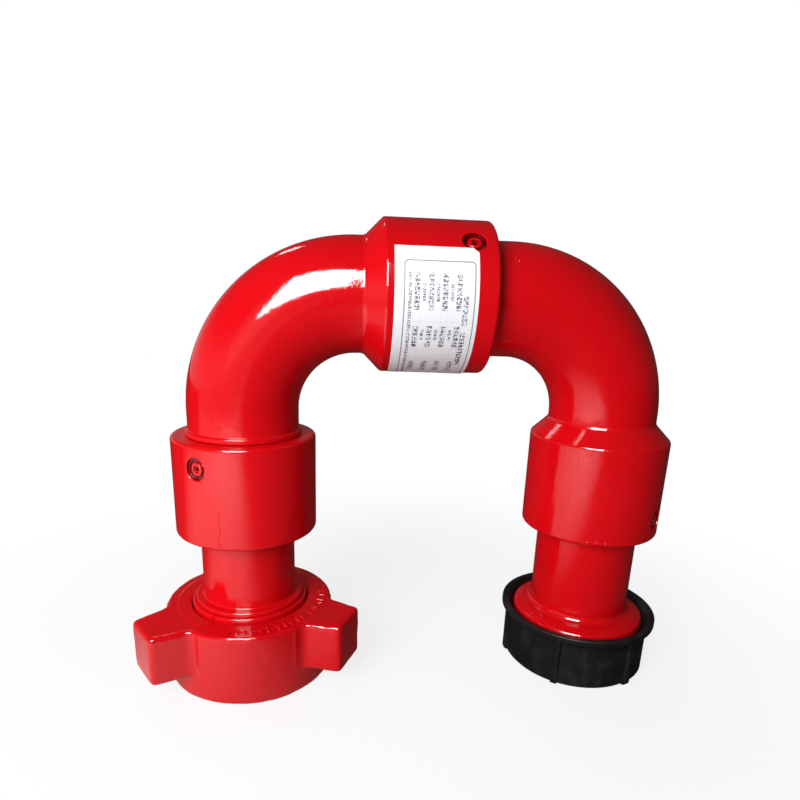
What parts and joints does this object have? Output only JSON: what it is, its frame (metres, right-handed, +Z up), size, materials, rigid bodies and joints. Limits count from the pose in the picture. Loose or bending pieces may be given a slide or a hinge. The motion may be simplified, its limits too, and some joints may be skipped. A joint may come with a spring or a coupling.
{
  "type": "swivel joint",
  "caption": "High-pressure swivel joint: two long-sweep elbows and ball-bearing swivels in an arch, with a hammer union nut on one leg and a capped union thread on the other.",
  "frame": {"origin": "on the floor, in the centre of the left leg's flow bore at its nose", "axes": "+X from the left leg to the right leg, +Z up along both legs, -Y towards the side with the paper label"},
  "size_m": [0.3951, 0.1455, 0.3257],
  "materials": {
    "red_paint": "gloss",
    "black_plastic": "satin",
    "bearing_steel": "polished",
    "spring_steel": "satin",
    "brass": "satin",
    "black_rubber": "matte",
    "white_paper": "matte"
  },
  "bodies": {
    "left_leg": {"wing_sub": "red_paint", "retainer_segments": "red_paint", "retainer_ring": "spring_steel", "left_ball_row_1": "bearing_steel", "left_ball_row_2": "bearing_steel", "left_ball_row_3": "bearing_steel", "left_packing": "black_rubber", "left_backup_ring": "brass", "left_dust_seal": "black_rubber", "left_ball_plugs": "red_paint", "left_plug_seals": "black_rubber", "left_plug_circlips": "red_paint", "left_grease_screws": "red_paint"},
    "nut": {"wing_nut": "red_paint"},
    "left_bend": {"left_elbow": "red_paint", "paper_label": "white_paper", "middle_ball_row_1": "bearing_steel", "middle_ball_row_2": "bearing_steel", "middle_ball_row_3": "bearing_steel", "middle_packing": "black_rubber", "middle_backup_ring": "brass", "middle_dust_seal": "black_rubber", "middle_ball_plugs": "red_paint", "middle_plug_seals": "black_rubber", "middle_plug_circlips": "red_paint", "middle_grease_screws": "red_paint"},
    "right_bend": {"right_elbow": "red_paint", "right_ball_row_1": "bearing_steel", "right_ball_row_2": "bearing_steel", "right_ball_row_3": "bearing_steel", "right_packing": "black_rubber", "right_backup_ring": "brass", "right_dust_seal": "black_rubber", "right_ball_plugs": "red_paint", "right_plug_seals": "black_rubber", "right_plug_circlips": "red_paint", "right_grease_screws": "red_paint"},
    "right_leg": {"thread_sub": "red_paint", "union_seal": "black_rubber"},
    "cap": {"thread_cap": "black_plastic"}
  },
  "joints": [
    {"name": "nut_spin", "type": "hinge", "parent": "left_leg", "child": "nut", "pos_m": [0, 0, 0.026], "axis": [0, 0, 1], "continuous": true},
    {"name": "left_swivel", "type": "hinge", "parent": "left_leg", "child": "left_bend", "pos_m": [0, 0, 0.181], "axis": [0, 0, 1], "continuous": true},
    {"name": "middle_swivel", "type": "hinge", "parent": "left_bend", "child": "right_bend", "pos_m": [0.16375, 0, 0.276], "axis": [1, 0, 0], "continuous": true},
    {"name": "right_swivel", "type": "hinge", "parent": "right_bend", "child": "right_leg", "pos_m": [0.25875, 0, 0.11225], "axis": [0, 0, 1], "continuous": true},
    {"name": "cap_off", "type": "slide", "parent": "right_leg", "child": "cap", "axis": [0, 0, -1], "range_m": [0, 0.05]}
  ]
}
